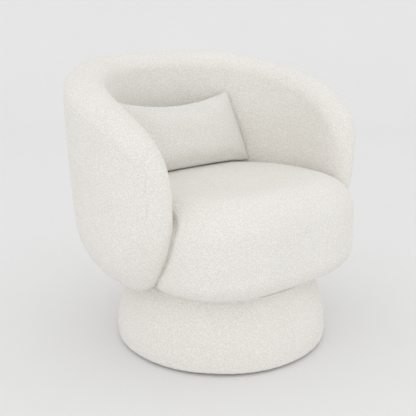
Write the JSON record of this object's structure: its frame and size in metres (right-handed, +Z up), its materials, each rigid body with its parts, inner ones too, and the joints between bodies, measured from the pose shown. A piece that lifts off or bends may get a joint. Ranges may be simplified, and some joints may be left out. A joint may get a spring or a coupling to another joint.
{
  "type": "swivel tub chair",
  "caption": "Low swivel armchair: a leaf-shaped upholstered tub wraps a crowned seat on a round padded drum, with a loose knife-edged lumbar cushion.",
  "frame": {"origin": "on the floor, under the middle of the chair's bounding box", "axes": "+Z up, -Y the way the sitter looks, +X to the sitter's left; the swivel axis stands 45.5 mm ahead of the origin"},
  "size_m": [0.7756, 0.689, 0.72],
  "materials": {
    "boucle": "looped wool-like pile, ivory",
    "cushion_boucle": "looped wool-like pile, cool ivory",
    "dust_cloth": "thin non-woven cloth",
    "wadding": "fleecy polyester wadding",
    "foam": "open-cell foam",
    "fibre": "soft fibre filling in a plain lining",
    "webbing": "woven elastic webbing",
    "glide": "moulded",
    "cage": "moulded",
    "ball": "ground steel",
    "fastener": "zinc plated",
    "plate": "pressed sheet, black",
    "bent_board": "bent fibreboard",
    "timber": "plywood and planed timber"
  },
  "bodies": {
    "base": {"base_glides": "glide", "base_glide_nails": "fastener", "base_bottom_board": "timber", "base_top_board": "timber", "base_rib_1": "timber", "base_rib_2": "timber", "base_rib_3": "timber", "base_rib_4": "timber", "base_rib_5": "timber", "base_rib_6": "timber", "base_screws": "fastener", "base_hoop": "bent_board", "base_wadding": "wadding", "base_cover": "boucle", "base_dust_cover": "dust_cloth", "swivel_lower_plate": "plate", "swivel_lower_race": "plate", "swivel_sleeve": "plate", "swivel_bolts": "fastener", "swivel_tee_nuts": "fastener"},
    "ball_ring": {"swivel_cage": "cage", "swivel_balls": "ball"},
    "tub": {"swivel_upper_race": "plate", "swivel_upper_plate": "plate", "swivel_screws": "fastener", "tub_floor_board": "timber", "tub_low_rail": "timber", "tub_tack_rail": "timber", "tub_top_rail": "timber", "tub_rib_1": "timber", "tub_rib_2": "timber", "tub_rib_3": "timber", "tub_rib_4": "timber", "tub_rib_5": "timber", "tub_rib_6": "timber", "tub_rib_7": "timber", "tub_arm_post_left": "timber", "tub_arm_post_right": "timber", "tub_screws": "fastener", "tub_outer_panel": "bent_board", "tub_inner_panel": "bent_board", "tub_wadding": "wadding", "tub_foam_back": "foam", "tub_foam_left": "foam", "tub_foam_right": "foam", "tub_outer_cover": "boucle", "tub_inner_cover": "boucle", "tub_dust_cover": "dust_cloth", "seat_frame": "timber", "seat_cross_rail": "timber", "seat_straps_long": "webbing", "seat_straps_cross": "webbing", "seat_foam": "foam", "seat_top_cover": "boucle", "seat_band_cover": "boucle"},
    "cushion": {"cushion_insert": "fibre", "cushion_front_cover": "cushion_boucle", "cushion_back_cover": "cushion_boucle"}
  },
  "joints": [
    {"name": "chair_swivel", "type": "hinge", "parent": "base", "child": "tub", "pos_m": [0, -0.0455, 0.1915], "axis": [0, 0, 1], "continuous": true},
    {"name": "ball_ring_roll", "type": "hinge", "parent": "base", "child": "ball_ring", "pos_m": [0, -0.0455, 0.1915], "axis": [0, 0, 1], "continuous": true},
    {"name": "cushion_lift", "type": "slide", "parent": "tub", "child": "cushion", "axis": [0, 0, 1], "range_m": [0, 0.45]}
  ],
  "couplings": [
    {"joint": "ball_ring_roll", "follows": "chair_swivel", "ratio": 0.5}
  ]
}
